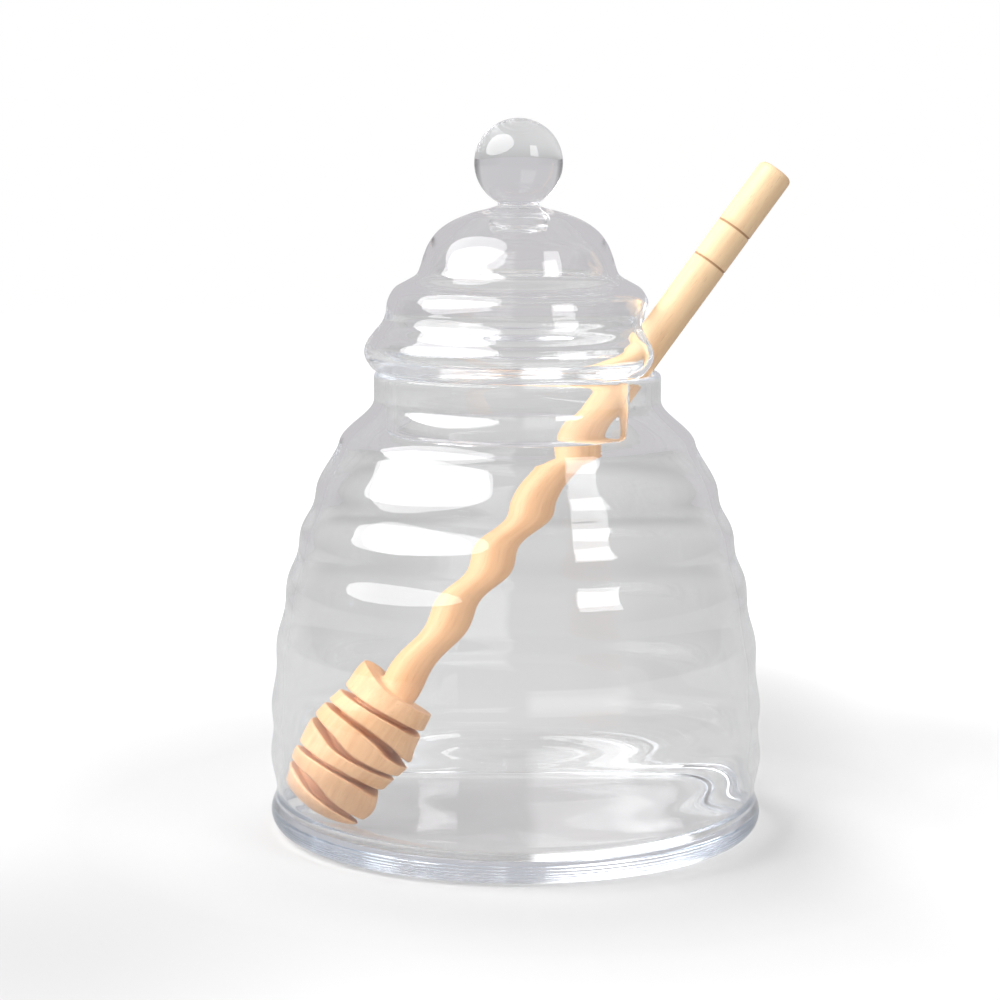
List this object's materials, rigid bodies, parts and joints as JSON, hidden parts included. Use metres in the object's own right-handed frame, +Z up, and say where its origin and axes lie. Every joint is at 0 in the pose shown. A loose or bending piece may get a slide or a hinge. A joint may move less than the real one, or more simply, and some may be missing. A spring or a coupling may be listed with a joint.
{
  "type": "honey jar with dipper",
  "caption": "Clear glass beehive jar with a domed, ball-knobbed lid and a grooved wooden dipper leaning out through a notch in the lid.",
  "frame": {"origin": "on the jar's axis, in the middle of its flat underside, on the surface that it stands on", "axes": "+Z up along the jar's axis; +X towards the side where the dipper's stick comes out, which leans 36 degrees from upright and is turned 7.5 degrees from +X towards +Y"},
  "size_m": [0.1048, 0.1006, 0.1442],
  "materials": {
    "clear_glass": "clear blown glass, fire polished",
    "pale_beech": "turned and sanded, bare, with two burnt rings"
  },
  "bodies": {
    "root": {"jar": "clear_glass", "lid": "clear_glass", "dipper": "pale_beech"}
  },
  "joints": []
}
